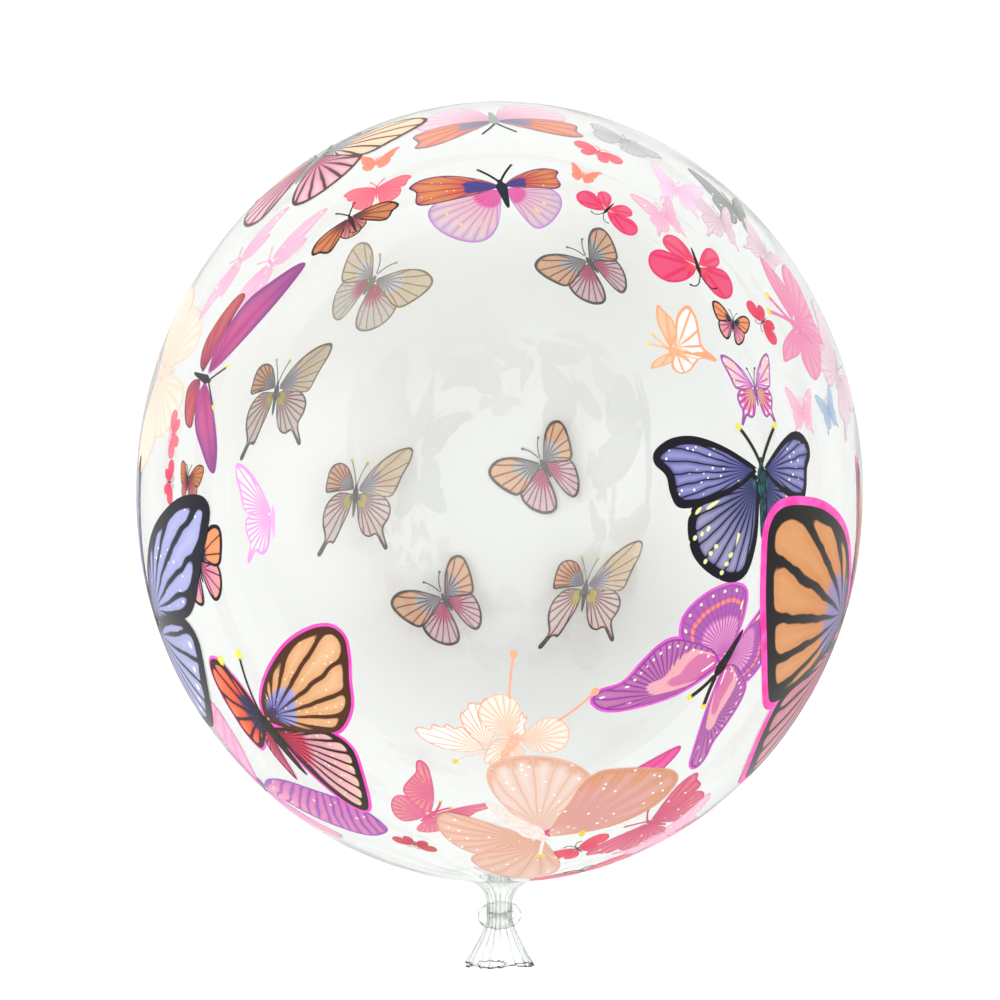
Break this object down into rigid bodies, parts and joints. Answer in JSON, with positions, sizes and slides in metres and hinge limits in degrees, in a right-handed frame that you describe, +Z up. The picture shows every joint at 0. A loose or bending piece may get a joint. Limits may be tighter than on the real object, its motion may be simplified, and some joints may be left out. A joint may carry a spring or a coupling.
{
  "type": "clear bubble balloon",
  "caption": "Clear round bubble balloon, blown up and knotted in its own neck, printed all over with butterflies, for parties and table displays.",
  "frame": {"origin": "the middle of the small flat on the underside, where the film presses on the surface that the balloon lies on", "axes": "+Z up; +Y along the balloon's long axis, away from the knotted neck and towards the crown; +X to the right when the picture's side of the balloon is seen from above with the neck nearest"},
  "size_m": [0.334, 0.4, 0.3325],
  "materials": {
    "clear_film": "thin clear glossy plastic film, see-through",
    "printed_ink": "glossy printed ink in butterfly shapes, in orange, blue, violet, pink and peach"
  },
  "bodies": {
    "root": {"balloon": "clear_film"}
  },
  "joints": []
}
